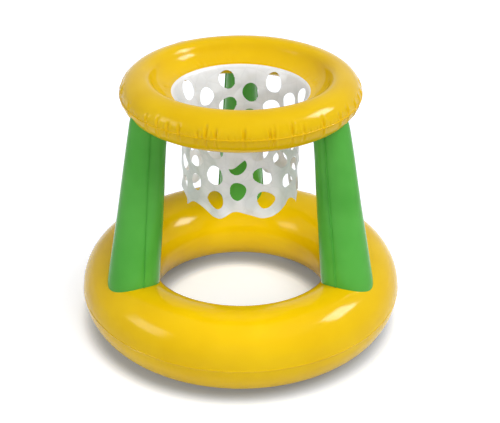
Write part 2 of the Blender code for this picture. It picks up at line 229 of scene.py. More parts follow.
def vinyl_film(name, deep, bright, roughness):
    """Glossy dyed PVC film between two tones, and between two values of roughness."""
    material, tree, output, place = new_material(name)
    drift = add(tree, "ShaderNodeTexNoise", {"Vector": place, "Scale": 1000 / DRIFT_MM})
    tone = add(tree, "ShaderNodeMapRange", {"Value": drift.outputs["Fac"], "From Min": 0.3,
                                            "From Max": 0.7})
    colour = add(tree, "ShaderNodeMix", {"Factor": tone.outputs["Result"], 6: linear(deep),
                                         7: linear(bright)}, data_type="RGBA")
    sheen = add(tree, "ShaderNodeTexNoise", {"Vector": place, "Scale": 1000 / SHEEN_MM,
                                             "Detail": 3})
    gloss = add(tree, "ShaderNodeMapRange", {"Value": sheen.outputs["Fac"], "From Min": 0.3,
                                             "From Max": 0.7, "To Min": roughness[0],
                                             "To Max": roughness[1]})
    ripple = add(tree, "ShaderNodeTexNoise", {"Vector": place, "Scale": 1000 / RIPPLE_MM,
                                              "Detail": 1})
    fine = add(tree, "ShaderNodeTexNoise", {"Vector": place, "Scale": 1000 / FINE_MM})
    wavy = add(tree, "ShaderNodeBump", {"Height": ripple.outputs["Fac"], "Strength": 0.5,
                                        "Distance": RIPPLE_HEIGHT})
    grained = add(tree, "ShaderNodeBump", {"Height": fine.outputs["Fac"], "Strength": 1,
                                           "Distance": FINE_HEIGHT,
                                           "Normal": wavy.outputs["Normal"]})
    shader = add(tree, "ShaderNodeBsdfPrincipled",
                 {"Base Color": colour.outputs[2], "Roughness": gloss.outputs["Result"],
                  "IOR": 1.53, "Specular IOR Level": 0.1,
                  "Normal": grained.outputs["Normal"]})
    tree.links.new(shader.outputs["BSDF"], output.inputs["Surface"])
    return material


yellow_vinyl = vinyl_film("yellow_pvc_film", "#E6BA04", "#EDC30A", (0.08, 0.14))
green_vinyl = vinyl_film("green_pvc_film", "#4FA63C", "#5BB347", (0.1, 0.18))
print("film materials:", yellow_vinyl.name, green_vinyl.name)

# %% [markdown]
# ## The section of an inflated ring
#
# Two flat rings of film, welded at both edges and blown up, don't make a round tube: the film
# can't stretch round the ring, so it takes a flatter curve that is steep at the outer edge. The
# curve follows from one rule, that its curvature grows with the distance from the ring's axis.
# Drawing that curve from its rule beats an ellipse, which looks too full at the inner edge.

# %% Inflated section
SAMPLES = 300
HALVINGS = 50


def film_curve(inner, outer, start_slope):
    """Radius and height along inflated film, from its inner to its outer weld.

    The sine of the slope falls with the square of the radius, from the start slope to straight
    down. So radius = sqrt(inner² + 2 (sin start - sin slope) / rate), and the height is the sum of
    sin slope / (rate · radius) over the slope.
    """
    rate = 2 * (1 + math.sin(start_slope)) / (outer ** 2 - inner ** 2)
    slope = np.concatenate((np.linspace(start_slope, 0, SAMPLES),
                            np.linspace(0, -math.pi / 2, SAMPLES)[1:]))
    radius = np.sqrt(inner ** 2 + 2 * (math.sin(start_slope) - np.sin(slope)) / rate)
    climb = np.sin(slope) / (rate * radius)
    steps = -np.diff(slope) * (climb[1:] + climb[:-1]) / 2
    return radius, np.concatenate(([0], np.cumsum(steps)))


def inflated_section(inner, outer, rise):
    """Points (radius, height) of film between two welds, scaled to rise at its crown.

    The start slope is found by halving: too small a slope ends below the seam plane.
    """
    low, high = 0, math.pi / 2
    for _ in range(HALVINGS):
        middle = (low + high) / 2
        if film_curve(inner, outer, middle)[1][-1] < 0:
            low = middle
        else:
            high = middle
    radius, height = film_curve(inner, outer, (low + high) / 2)
    return np.stack((radius, height * rise / height.max()), axis=1)


print("a section has", 2 * SAMPLES - 1, "points from weld to weld")

# %% [markdown]
# ## Lines of points
#
# A section is a line of points, and its points are seldom where the mesh needs them. Three helpers
# measure a line, take points from it at chosen shares of its length, and draw a smooth curve
# through a few given ones. A fourth gives shares that crowd at both ends, because film turns
# most sharply beside its welds.

# %% Line helpers
def length_along(points):
    """Distance along a line of points, from its first one."""
    return np.concatenate(([0], np.cumsum(np.linalg.norm(np.diff(points, axis=0), axis=1))))


def respaced(points, places):
    """Points at the given shares of a line's length."""
    along = length_along(points)
    return np.stack([np.interp(places * along[-1], along, points[:, k]) for k in range(2)], axis=1)


def close_at_ends(count, even_share):
    """Shares from 0 to 1 that lie closer at both ends: even ones mixed with (1 - cos) / 2."""
    even = np.linspace(0, 1, count)
    return even_share * even + (1 - even_share) * (1 - np.cos(math.pi * even)) / 2


def smooth_curve(points, count):
    """A natural cubic spline through points, by the length of its chords, as count points.

    On each span it is (m0·a³ + m1·b³) / 6g + (p0/g - m0·g/6)·a + (p1/g - m1·g/6)·b, with a and b
    the distances to the span's ends, g its length, and the bends m from one linear system.
    """
    points = np.asarray(points, float)
    knots = length_along(points)
    gaps = np.diff(knots)
    inner = np.arange(1, len(points) - 1)
    system = np.eye(len(points))
    system[inner, inner - 1] = gaps[:-1]
    system[inner, inner] = 2 * (gaps[:-1] + gaps[1:])
    system[inner, inner + 1] = gaps[1:]
    wanted = np.zeros_like(points)
    wanted[1:-1] = 6 * np.diff(np.diff(points, axis=0) / gaps[:, None], axis=0)
    bend = np.linalg.solve(system, wanted)
    at = np.linspace(0, knots[-1], count)
    span = np.clip(np.searchsorted(knots, at, side="right") - 1, 0, len(gaps) - 1)
    a = (knots[span + 1] - at)[:, None]
    b = (at - knots[span])[:, None]
    g = gaps[span][:, None]
    return ((bend[span] * a ** 3 + bend[span + 1] * b ** 3) / (6 * g)
            + (points[span] / g - bend[span] * g / 6) * a
            + (points[span + 1] / g - bend[span + 1] * g / 6) * b)


print("five shares, closer at both ends:", close_at_ends(5, 0.5).round(3).tolist())

# %% [markdown]
# ## Sizes read from the frame
#
# The rings' outer radii, their heights and the valves' places are in the frame. Only the inner
# radii and the welds aren't, because a box tells nothing about them.

# %% Sizes of the rings
base_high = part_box("base_ring_upper_skin")[1]
hoop_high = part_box("hoop_ring_upper_skin")[1]
hoop_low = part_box("hoop_ring_lower_skin")[0]
WELD = 0.002
BASE_OUTER = base_high.x
BASE_INNER = 0.172
BASE_CURVE_REACH = 0.015
BASE_RISE = base_high.z / 2
BASE_SEAM = base_high.z / 2
BASE_STRIP = 0.014
BASE_WELD = 0.0006
HOOP_OUTER = hoop_high.x
HOOP_INNER = 0.1365
HOOP_RISE = (hoop_high.z - hoop_low.z) / 2
HOOP_SEAM = (hoop_high.z + hoop_low.z) / 2
HOOP_INNER_WELD = 0.0035
print(f"base: {BASE_OUTER:.4f} m, seam at {BASE_SEAM:.4f} m")
print(f"hoop: {HOOP_OUTER:.4f} m, seam at {HOOP_SEAM:.4f} m")

# %% [markdown]
# ## Skins of the rings
#
# A skin is its section turned round the vertical axis. The turning is the easy part: what makes it
# look like film is the relief that is added along the section's normal. Rows are close together at
# the welds, where the surface turns sharply, and columns are at most two millimetres apart, to hold
# narrow grooves.

# %% Turn a section into a skin
COLUMNS = 1200
FILM_ROWS = 36
FILM_EVEN_SHARE = 0.45
WELD_ROWS = 3
azimuths = np.linspace(0, 2 * math.pi, COLUMNS, endpoint=False)


def skin_rows(film, outer_tip, inner_tip=None):
    """A section from the outer tip of its weld to the inner tip, with close rows at both welds.

    Without an inner tip the film ends where it meets the other skin.
    """
    rows = respaced(film[::-1], close_at_ends(FILM_ROWS, FILM_EVEN_SHARE))
    outer_weld = np.linspace((outer_tip, FILM), rows[0] + (0, FILM), WELD_ROWS)
    inner_weld = rows[-1:]
    if inner_tip is not None:
        inner_weld = np.linspace(rows[-1] + (0, FILM), (inner_tip, FILM), WELD_ROWS)
    return np.concatenate((outer_weld, rows[1:-1], inner_weld))


def section_normals(section):
    """Unit normals on the left of a section that runs from the outer tip to the inner one."""
    course = np.gradient(section, axis=0)
    normals = np.stack((course[:, 1], -course[:, 0]), axis=1)
    return normals / np.linalg.norm(normals, axis=1)[:, None]


def turned_skin(section, relief, seam, side):
    """Points of a skin: radius and height are the section's, moved by relief along its normal.

    With side -1 the section hangs below the seam plane, and its rows are reversed so that the
    faces still point outwards.
    """
    normals = section_normals(section)
    radius = section[:, :1] + relief * normals[:, :1]
    height = seam + side * (section[:, 1:] + relief * normals[:, 1:])
    points = np.stack((radius * np.cos(azimuths), radius * np.sin(azimuths), height), axis=-1)
    return points if side > 0 else points[::-1]


for word, radius in (("base", BASE_OUTER), ("hoop", HOOP_OUTER)):
    print(f"columns at the {word}'s edge: {2000 * math.pi * radius / COLUMNS:.2f} mm apart")

# %% [markdown]
# ## Puckers and waves
#
# Near a weld the film can't lie flat, because the outer edge of a ring has to get shorter when the
# ring fills, so it gathers in short puckers. Each pucker is a narrow groove with a low ridge on
# both sides, and it widens and fades away from the weld. Geometry shows them better than a bump
# would, because they notch the outline. Between the welds the film is only slightly uneven, which
# a few sines with seeded phases give.

# %% Relief of the film
RIDGE_OFFSET = 2
RIDGE_SHARES = (0.5, 0.3)
FADE_IN_SHARE = 0.15
FADE_OUT_SHARE = 0.35
rng = np.random.default_rng(11)


def wrapped(angle):
    """An angle brought between minus and plus pi."""
    return (angle + math.pi) % (2 * math.pi) - math.pi


def smooth_step(low, high, value):
    """0 below low, 1 above high, and 3t² - 2t³ between."""
    t = np.clip((value - low) / (high - low), 0, 1)
    return t * t * (3 - 2 * t)


def groove_across(arc):
    """A bell curve, exp(-arc²), less a lower one on each side, with the arc in widths."""
    return (np.exp(-arc ** 2) - RIDGE_SHARES[0] * np.exp(-(arc - RIDGE_OFFSET) ** 2)
            - RIDGE_SHARES[1] * np.exp(-(arc + RIDGE_OFFSET) ** 2))


def puckers(distance, radius, places, depth, lengths, shares, width):
    """Relief of the grooves beside a weld, for each row's distance from it.

    Each groove's length is drawn between the given lengths, and its depth between the given shares
    of the depth. Its width doubles along its length while its depth fades to nothing.
    """
    relief = np.zeros((len(distance), COLUMNS))
    drawn_lengths = rng.uniform(*lengths, len(places))
    drawn_depths = rng.uniform(*shares, len(places)) * depth
    for place, length, deep in zip(places, drawn_lengths, drawn_depths):
        share = (distance / length)[:, None]
        arc = (wrapped(azimuths - place) * radius)[None, :] / (width * (1 + share))
        fade = smooth_step(0, FADE_IN_SHARE, share) * (1 - smooth_step(FADE_OUT_SHARE, 1, share))
        relief -= deep * groove_across(arc) * fade
    return relief


def waves(rows, count, orders, height):
    """A low unevenness: sines round the ring and along the section, with seeded phases."""
    along = np.linspace(0, math.pi, rows)[:, None]
    total = np.zeros((rows, COLUMNS))
    for _ in range(count):
        order = rng.integers(*orders)
        phase = rng.uniform(0, 2 * math.pi, 2)
        total += np.sin(order * azimuths[None, :] + phase[0]) * np.sin(2 * along + phase[1])
    return height * total / count * np.sin(along)


print("across a groove, from -3 to 3 widths:", groove_across(np.arange(-3, 4)).round(2).tolist())

# %% [markdown]
# ## Places of the valves
#
# Each valve's seat and directions are in the frame's joints: the stem slides along the seat's
# normal, and the plug hinges about an axis across it. A welded flange holds the film flat, so the
# skin is blended into the seat's plane around it, and a hole is cut for the stem. The grid's points
# inside the hole are moved out to its rim, which gives a round hole without cutting any quad.

# %% Valve seats
HINGE_REACH = 0.012
HINGE_RISE = 0.00285
joints = {joint["name"]: joint for joint in frame["joints"]}


def seat_of(valve):
    """The seat of a valve: a matrix with Z along its stem and Y along its plug's hinge.

    The hinge stands at its reach beside the stem's axis and at its rise above the seat.
    """
    out = Vector(joints[valve + "_stem_slide"]["axis"])
    hinge = Vector(joints[valve + "_plug_hinge"]["axis"])
    across = hinge.cross(out)
    place = Vector(joints[valve + "_plug_hinge"]["pos_m"]) - across * HINGE_REACH - out * HINGE_RISE
    seat = Matrix((across, hinge, out)).transposed().to_4x4()
    seat.translation = place
    return seat


valve_names = ["base", "hoop", "left_leg", "right_leg", "rear_leg"]
seats = {name: seat_of(name) for name in valve_names}
for name, seat in seats.items():
    print(name, "valve at", [round(value, 4) for value in seat.translation])

# %% Film around a seat
FLAT_RADIUS = 0.0115
BLEND_RADIUS = 0.027
HOLE_RADIUS = 0.0078
LEAST_DISTANCE = 1e-6


def outside_holes(inside):
    """The quads of a closed grid to keep: all but those with four corners in a hole."""
    closed = np.concatenate((inside, inside[:, :1]), axis=1)
    return ~(closed[:-1, :-1] & closed[:-1, 1:] & closed[1:, 1:] & closed[1:, :-1])


def seated(points, seat):
    """Points blended into a seat's plane, and the quads to keep around its hole.

    In the seat's own axes, a point's height is scaled by a smooth step of its distance from the
    stem, from 0 under the flange to 1 past the blend, and a point inside the hole moves to its rim.
    """
    turn = np.array(seat.to_3x3())
    centre = np.array(seat.translation)
    local = (points - centre) @ turn
    distance = np.hypot(local[..., 0], local[..., 1])
    near = (np.abs(local[..., 2]) < BLEND_RADIUS) & (distance < BLEND_RADIUS)
    flat = local[..., 2] * smooth_step(FLAT_RADIUS, BLEND_RADIUS, distance)
    moved = np.abs(local[..., 2] - flat)[near & (distance < FLAT_RADIUS)]
    print(f"film moved by up to {1000 * moved.max(initial=0):.1f} mm under a flange")
    local[..., 2] = np.where(near, flat, local[..., 2])
    inside = near & (distance < HOLE_RADIUS)
    grow = np.where(inside, HOLE_RADIUS / np.maximum(distance, LEAST_DISTANCE), 1)
    local[..., :2] *= grow[..., None]
    return local @ turn.T + centre, outside_holes(inside)


print(f"film lies flat {1000 * FLAT_RADIUS} mm around a stem, and its hole reaches "
      f"{1000 * HOLE_RADIUS} mm")

# %% [markdown]
# ## The base ring
#
# The base is full and taut, and its puckers hardly show. It is so full that its inner flank is as
# round as its outer one, so that flank is a quarter of an ellipse instead of the slacker film curve.
# The lower skin is the same section turned over, with a flat strip where the ring rests.

# %% Base section
def base_section(strip):
    """The inflated curve with a fuller inner flank, and a flat strip at its crown.

    The inner flank is a quarter of an ellipse: crown - width · cos, rise · sin.
    """
    film = inflated_section(BASE_INNER - BASE_CURVE_REACH + strip / 2,
                            BASE_OUTER - BASE_WELD - strip / 2, BASE_RISE)
    crown = np.argmax(film[:, 1])
    radius = film[crown, 0] - strip / 2
    angle = np.linspace(0, math.pi / 2, SAMPLES)
    width = radius - BASE_INNER
    inner = np.stack((radius - width * np.cos(angle), BASE_RISE * np.sin(angle)), axis=1)
    return np.concatenate((inner, film[crown + (strip == 0):] + (strip / 2, 0)))


base_film = base_section(0)
base_upper = skin_rows(base_film, BASE_OUTER)
base_lower = skin_rows(base_section(BASE_STRIP), BASE_OUTER)
print(f"base film, weld to weld: {length_along(base_film)[-1]:.3f} m")

# %% Base ring skins
BASE_PUCKERS = 70
BASE_PUCKER = {"depth": 0.0002, "lengths": (0.008, 0.018), "shares": (0.2, 1), "width": 0.0016}
BASE_STRAY = 0.3
BASE_WAVES = {"count": 5, "orders": (2, 7), "height": 0.0006}


def base_relief(section):
    """Faint puckers at the base's outer weld, evenly placed but for a stray share of their pitch."""
    distance = length_along(section) - BASE_WELD
    stray = rng.uniform(-BASE_STRAY, BASE_STRAY, BASE_PUCKERS)
    places = (np.arange(BASE_PUCKERS) + stray) * 2 * math.pi / BASE_PUCKERS
    return puckers(distance, BASE_OUTER, places, **BASE_PUCKER)


base_relief_above = base_relief(base_upper) + waves(len(base_upper), **BASE_WAVES)
base_points, base_kept = seated(turned_skin(base_upper, base_relief_above, BASE_SEAM, 1),
                                seats["base"])
film_piece("base_ring_upper_film", base_points, True, base_kept, yellow_vinyl,
           "base_ring_upper_skin")
base_under_points = turned_skin(base_lower, base_relief(base_lower), BASE_SEAM, -1)
film_piece("base_ring_lower_film", base_under_points, True, None, yellow_vinyl,
           "base_ring_lower_skin")

# %% [markdown]
# ## The hoop ring
#
# The hoop's upper skin isn't a plain inflated section. Its inner flank is drawn in where the net is
# welded: the film lies low beside the weld, climbs slowly, and then turns up steeply into the tube.
# A spline through a few listed shares of the ring's width and height gives that flank, and the
# outer flank keeps the inflated curve. The outer weld is gathered much more than the base's: the
# puckers that show in front are placed one by one, as degrees from the front, and the rest by
# chance.

# %% Hoop section
FLANK_SHARES = [(0.0796, 0.020), (0.154, 0.105), (0.234, 0.235), (0.3035, 0.397), (0.353, 0.577),
                (0.392, 0.769), (0.452, 0.925)]
FLANK_POINTS = 9
hoop_film = inflated_section(HOOP_INNER + HOOP_INNER_WELD, HOOP_OUTER - WELD, HOOP_RISE)
hoop_crown = np.argmax(hoop_film[:, 1])
hoop_width = HOOP_OUTER - HOOP_INNER
flank = [(HOOP_INNER + across * hoop_width, up * HOOP_RISE) for across, up in FLANK_SHARES]
outer_flank = respaced(hoop_film[hoop_crown:], np.linspace(0, 1, FLANK_POINTS))
upper_film = smooth_curve(np.concatenate((flank, outer_flank)), 2 * SAMPLES)
hoop_upper = skin_rows(upper_film, HOOP_OUTER, HOOP_INNER)
hoop_lower = skin_rows(hoop_film, HOOP_OUTER, HOOP_INNER)
print(f"hoop film above and below: {length_along(upper_film)[-1]:.3f} m and "
      f"{length_along(hoop_film)[-1]:.3f} m from weld to weld")

# %% Hoop ring skins
FRONT = -90
NEAR_PUCKERS = [-63.7, -47.7, -40.5, -34.5, -28.4, -19.6, -15.6, -11.2, 1.4, 12.9, 14.6, 23.1, 28.9,
                39.8, 51, 58, 66]
FAR_PUCKERS = np.arange(-17, 198, 7.0)
FAR_STRAY = 2.5
HOOP_PUCKER = {"lengths": (0.018, 0.034), "shares": (0.6, 1), "width": 0.0018}
UPPER_PUCKER_DEPTH = 0.004
LOWER_PUCKER_DEPTH = 0.0026
FINE_GATHERS = 110
FINE_GATHER = {"lengths": (0.004, 0.01), "shares": (0.1, 0.35), "width": 0.0014}
PLEATS = 64
PLEAT = {"lengths": (0.01, 0.03), "shares": (0.2, 1), "width": 0.002}
UPPER_PLEAT_DEPTH = 0.0006
LOWER_PLEAT_DEPTH = 0.0005
HOOP_WAVES = {"count": 5, "orders": (2, 8), "height": 0.0008}


def hoop_relief(section, depth):
    """Puckers at the hoop's outer weld, in front and behind, with short fine gathers between."""
    distance = length_along(section) - WELD
    near = np.radians(np.array(NEAR_PUCKERS) + FRONT)
    far = np.radians(FAR_PUCKERS + rng.uniform(-FAR_STRAY, FAR_STRAY, len(FAR_PUCKERS)))
    grooves = puckers(distance, HOOP_OUTER, np.concatenate((near, far)), depth, **HOOP_PUCKER)
    fine = rng.uniform(0, 2 * math.pi, FINE_GATHERS)
    return grooves + puckers(distance, HOOP_OUTER, fine, depth, **FINE_GATHER)


def inner_pleats(section, depth):
    """Soft radial pleats that the net's weld pulls into the inner flank."""
    distance = (length_along(section)[-1] - length_along(section)) - HOOP_INNER_WELD
    return puckers(distance, HOOP_INNER, rng.uniform(0, 2 * math.pi, PLEATS), depth, **PLEAT)


hoop_relief_above = (hoop_relief(hoop_upper, UPPER_PUCKER_DEPTH)
                     + inner_pleats(hoop_upper, UPPER_PLEAT_DEPTH)
                     + waves(len(hoop_upper), **HOOP_WAVES))
hoop_points, hoop_kept = seated(turned_skin(hoop_upper, hoop_relief_above, HOOP_SEAM, 1),
                                seats["hoop"])
hoop_skin = film_piece("hoop_ring_upper_film", hoop_points, True, hoop_kept, yellow_vinyl,
                       "hoop_ring_upper_skin")
hoop_relief_below = (hoop_relief(hoop_lower, LOWER_PUCKER_DEPTH)
                     + inner_pleats(hoop_lower, LOWER_PLEAT_DEPTH))
hoop_under_points = turned_skin(hoop_lower, hoop_relief_below, HOOP_SEAM, -1)
film_piece("hoop_ring_lower_film", hoop_under_points, True, None, yellow_vinyl,
           "hoop_ring_lower_skin")

# %% [markdown]
# ## The legs
#
# A leg is a tapered tube of two films with a weld down each side. Each panel is half an ellipse
# round a straight line that leans in from the base to the hoop, and its edges run out sideways
# into the welds. The two front legs' heads are shifted a little, and the left one's is twisted,
# because film never fills quite evenly.

# %% Sizes and columns of a leg
LEG_FOOT_SHARE = 0.5315
LEG_HEAD_SHARE = 0.562
FOOT_HALF_WIDTH = 0.0558
FOOT_HALF_DEPTH = 0.0568
HEAD_HALF_WIDTH = 0.0285
HEAD_HALF_DEPTH = 0.0351
LEG_AZIMUTHS = {"left": 210, "right": 330, "rear": 90}
HEAD_SHIFTS = {"left": 0.0045, "right": -0.0015, "rear": 0}
HEAD_TWISTS = {"left": -18, "right": 0, "rear": 0}
LEG_COLUMNS = 120
LEG_COLUMN_EVEN_SHARE = 0.4
LEG_FINS = (WELD / 2, WELD)
foot_radius = BASE_INNER + LEG_FOOT_SHARE * (BASE_OUTER - BASE_INNER)
head_radius = HOOP_INNER + LEG_HEAD_SHARE * (HOOP_OUTER - HOOP_INNER)
fin_columns = len(LEG_FINS)
half_turn = math.pi * (close_at_ends(LEG_COLUMNS - 2 * fin_columns, LEG_COLUMN_EVEN_SHARE) - 0.5)
leg_angles = np.pad(half_turn, fin_columns, mode="edge")
leg_fins = np.zeros(LEG_COLUMNS)
leg_fins[:fin_columns] = -np.array(LEG_FINS[::-1])
leg_fins[-fin_columns:] = LEG_FINS
print(f"legs lean in from {foot_radius:.3f} m at the base to {head_radius:.3f} m at the hoop")

# %% Points of a leg
def leg_point(side, facing, share, swell=0):
    """Points of a leg's panel: half an ellipse round the leg's line, at a share of its height.

    out · depth · cos(angle) + along · width · sin(angle), with the width and depth between those
    of the foot and the head. Both directions turn with the leg's twist, which grows to its head.
    Fins move the outer columns sideways into the weld, and swell moves a point outwards.
    """
    turn = math.radians(LEG_AZIMUTHS[side])
    share = np.asarray(share)[..., None]
    line = np.array((math.cos(turn), math.sin(turn), 0))
    foot = line * foot_radius + np.array((0, 0, BASE_SEAM))
    head = line * (head_radius + HEAD_SHIFTS[side]) + np.array((0, 0, HOOP_SEAM))
    turned = turn + math.radians(HEAD_TWISTS[side]) * share
    level = np.zeros_like(turned)
    out = np.concatenate((np.cos(turned), np.sin(turned), level), axis=-1)
    along = np.concatenate((-np.sin(turned), np.cos(turned), level), axis=-1)
    width = FOOT_HALF_WIDTH + (HEAD_HALF_WIDTH - FOOT_HALF_WIDTH) * share
    depth = FOOT_HALF_DEPTH + (HEAD_HALF_DEPTH - FOOT_HALF_DEPTH) * share
    moved = np.asarray(swell)[..., None]
    reach = FILM + (depth - FILM + moved) * np.cos(leg_angles)[:, None]
    spread = (width + moved) * np.sin(leg_angles)[:, None] + leg_fins[:, None]
    return foot + (head - foot) * share + facing * (out * reach + along * spread)


for side in LEG_AZIMUTHS:
    tip = leg_point(side, 1, np.ones(LEG_COLUMNS))[LEG_COLUMNS // 2]
    print(f"the {side} leg's outer line ends at {tip.round(3).tolist()}")

# %% [markdown]
# ## Where a leg meets the rings
#
# A leg's ends are closed by the rings' own films, so the tube is trimmed where it meets them.
# Cutting with a boolean would leave ragged edges in a fine mesh. Each column of the grid is a
# straight line from foot to head, so it is easier to find, for all columns at once, where that line
# leaves the base and enters the hoop.

# %% Trim a leg
FOOT_SEARCH = (0, 0.6)
HEAD_SEARCH = (0.5, 1)
base_line = base_film[np.argsort(base_film[:, 0])]
hoop_line = hoop_film[np.argsort(hoop_film[:, 0])]


def passing_film(side, facing, line, seam, way, low, high):
    """The share of a leg's height at which each column passes a ring's film, by halving.

    The film lies at seam + way · height, with its height at the column's radius.
    """
    low = np.full(LEG_COLUMNS, low)
    high = np.full(LEG_COLUMNS, high)
    for _ in range(HALVINGS):
        middle = (low + high) / 2
        place = leg_point(side, facing, middle)
        radius = np.hypot(place[:, 0], place[:, 1])
        past = place[:, 2] > seam + way * np.interp(radius, line[:, 0], line[:, 1])
        high = np.where(past, middle, high)
        low = np.where(past, low, middle)
    return (low + high) / 2


def leg_ends(side, facing):
    """The shares at which a leg's columns leave the base and enter the hoop."""
    return (passing_film(side, facing, base_line, BASE_SEAM, 1, *FOOT_SEARCH),
            passing_film(side, facing, hoop_line, HOOP_SEAM, -1, *HEAD_SEARCH))


leg_low, leg_high = leg_ends("right", 1)
print(f"the right leg leaves the base at {leg_low.min():.3f} to {leg_low.max():.3f} of its height "
      f"and enters the hoop at {leg_high.min():.3f} to {leg_high.max():.3f}")

# %% Leg panels
LEG_ROWS = 150
LEG_ROW_EVEN_SHARE = 0.5
PINCH_LENGTH = 0.006
PINCH = 0.0012
GROOVE_LENGTH = 0.0025
GROOVE = 0.0011
LEG_WAVES = 5
LEG_WAVE_ORDERS = (1, 5)
LEG_WAVE_RISES = (4, 14)
LEG_WAVE_HEIGHT = 0.00035
VALVE_FACINGS = {"left": -1, "right": -1, "rear": 1}


def leg_swell(side, facing, share, low, high):
    """How far a panel's points stand out: pinched ends, slow waves, and a groove at each weld.

    The pinch and the groove both fade as exp(-distance / length).
    """
    from_foot = (HOOP_SEAM - BASE_SEAM) * (share - low)
    from_head = (HOOP_SEAM - BASE_SEAM) * (high - share)
    swell = -PINCH * (np.exp(-from_foot / PINCH_LENGTH) + np.exp(-from_head / PINCH_LENGTH))
    turn = leg_angles * facing + math.radians(LEG_AZIMUTHS[side])
    for _ in range(LEG_WAVES):
        order = rng.integers(*LEG_WAVE_ORDERS)
        rise = rng.uniform(*LEG_WAVE_RISES)
        phase = rng.uniform(0, 2 * math.pi, 2)
        wave = LEG_WAVE_HEIGHT * np.sin(order * turn + phase[0])
        swell = swell + wave * np.sin(rise * share + phase[1])
    from_weld = (math.pi / 2 - np.abs(leg_angles)) * HEAD_HALF_DEPTH
    return (swell - GROOVE * np.exp(-from_weld / GROOVE_LENGTH)) * (leg_fins == 0)


def leg_panel(side, word, facing):
    """One film panel of a leg, trimmed to the rings, with its welds and its soft relief."""
    low, high = leg_ends(side, facing)
    share = low + (high - low) * close_at_ends(LEG_ROWS, LEG_ROW_EVEN_SHARE)[:, None]
    points = leg_point(side, facing, share, leg_swell(side, facing, share, low, high))
    kept = None
    if facing == VALVE_FACINGS[side]:
        points, kept = seated(points, seats[side + "_leg"])
        kept = kept[:, :-1]
    film_piece(f"{side}_leg_{word}_film", points, False, kept, green_vinyl,
               f"{side}_leg_{word}_panel")


for side in LEG_AZIMUTHS:
    for word, facing in (("outer", 1), ("inner", -1)):
        leg_panel(side, word, facing)

# %% [markdown]
# ## Frosted film
#
# The net is thin frosted polyethylene film, soft and milky. It lets some light and some of what is
# behind it through, and its creases catch the light. An alpha below 1 gives the milky look more
# cheaply and more evenly than a thin layer of glass would. Faint darker lines are painted on as
# crease shade, along the edges of a Voronoi pattern.

# %% Frosted film material
CREASE_MM = 32
CLOUD_MM = 40
BAND = 0.005
BAND_FADE = 0.001


def frosted_film(name, colour, shade, band, line, alpha):
    """Milky film, satin, with faint lines of painted crease shade and a whiter band along its top.
    """
    material, tree, output, place = new_material(name)
    drift = add(tree, "ShaderNodeTexNoise", {"Vector": place, "Scale": 1000 / CLOUD_MM})
    tone = add(tree, "ShaderNodeMapRange", {"Value": drift.outputs["Fac"], "From Min": 0.35,
                                            "From Max": 0.65})
    mixed = add(tree, "ShaderNodeMix", {"Factor": tone.outputs["Result"], 6: linear(shade),
                                        7: linear(colour)}, data_type="RGBA")
    height = add(tree, "ShaderNodeSeparateXYZ", {0: place})
    in_band = add(tree, "ShaderNodeMapRange", {"Value": height.outputs["Z"],
                                               "From Min": HOOP_SEAM - BAND,
                                               "From Max": HOOP_SEAM - BAND + BAND_FADE})
    banded = add(tree, "ShaderNodeMix", {"Factor": in_band.outputs["Result"],
                                         6: mixed.outputs[2], 7: linear(band)}, data_type="RGBA")
    crease = add(tree, "ShaderNodeTexVoronoi", {"Vector": place, "Scale": 1000 / CREASE_MM},
                 feature="DISTANCE_TO_EDGE")
    fold = add(tree, "ShaderNodeMapRange", {"Value": crease.outputs["Distance"], "From Max": 0.05,
                                            "To Min": 0.14, "To Max": 0})
    # Painted shade: near the Voronoi edges the film turns to the line's grey, as shade in creases.
    crease_shaded = add(tree, "ShaderNodeMix", {"Factor": fold.outputs["Result"], 6: banded.outputs[2],
                                          7: linear(line)}, data_type="RGBA")
    bump = add(tree, "ShaderNodeBump", {"Height": crease.outputs["Distance"], "Strength": 0.6,
                                        "Distance": 0.003})
    shader = add(tree, "ShaderNodeBsdfPrincipled",
                 {"Base Color": crease_shaded.outputs[2], "Roughness": 0.34, "IOR": 1.5, "Alpha": alpha,
                  "Normal": bump.outputs["Normal"]})
    tree.links.new(shader.outputs["BSDF"], output.inputs["Surface"])
    return material


# The last grey is the painted shade of the creases.
net_film = frosted_film("frosted_polyethylene_film", "#FAFBFD", "#EEF0F2", "#FBFCFF", "#C8C9CF",
                        0.88)
print("net material:", net_film.name)

# %% [markdown]
# ## How the net hangs
#
# The net is one strip of film, punched, joined into a tube and welded into the hoop. It narrows
# soon below the weld and then hangs almost straight down. Its two parameters are the way round,
# counted in columns of holes, and the way down, from the weld to the hem. The film isn't spread
# evenly: in some places it is pulled apart and in others gathered, and in front on the right it is
# twisted to one side towards the hem. So a table turns columns into azimuths, and a twist is added.

# %% Hanging tube of the net
NET_TOP_RADIUS = HOOP_INNER + 0.001
NET_BOTTOM_RADIUS = 0.1185
NET_DRAW = 0.035
NET_LENGTH = 0.233
HOLE_COLUMNS = 16
COLUMN_TURNS = ((-1, 0, 2, 5, 7, 8, 16, 17), (-116.3, -93, -50, 11, 56.5, 80.3, 267, 288.5))
TWIST = 18
TWIST_COLUMN = 2.2
TWIST_REACH = 2.2
TWIST_START, TWIST_END = 0.4, 0.85
net_rng = np.random.default_rng(5)


def net_radius(drop):
    """The tube's radius: bottom + (top - bottom) · exp(-drop / draw), so it narrows early."""
    return NET_BOTTOM_RADIUS + (NET_TOP_RADIUS - NET_BOTTOM_RADIUS) * np.exp(-drop / NET_DRAW)


def net_azimuth(column, drop):
    """Where a column of holes hangs, with the sideways twist that grows towards the hem.

    The twist is cos² of a column's distance from the one that is twisted most.
    """
    aside = np.clip((column - TWIST_COLUMN) / TWIST_REACH, -1, 1)
    lower = smooth_step(TWIST_START, TWIST_END, drop / NET_LENGTH)
    twist = TWIST * np.cos(math.pi / 2 * aside) ** 2 * lower
    return np.radians(np.interp(column, *COLUMN_TURNS) + twist)


print(f"net narrows from {NET_TOP_RADIUS:.4f} m to {net_radius(NET_LENGTH):.4f} m at its hem")

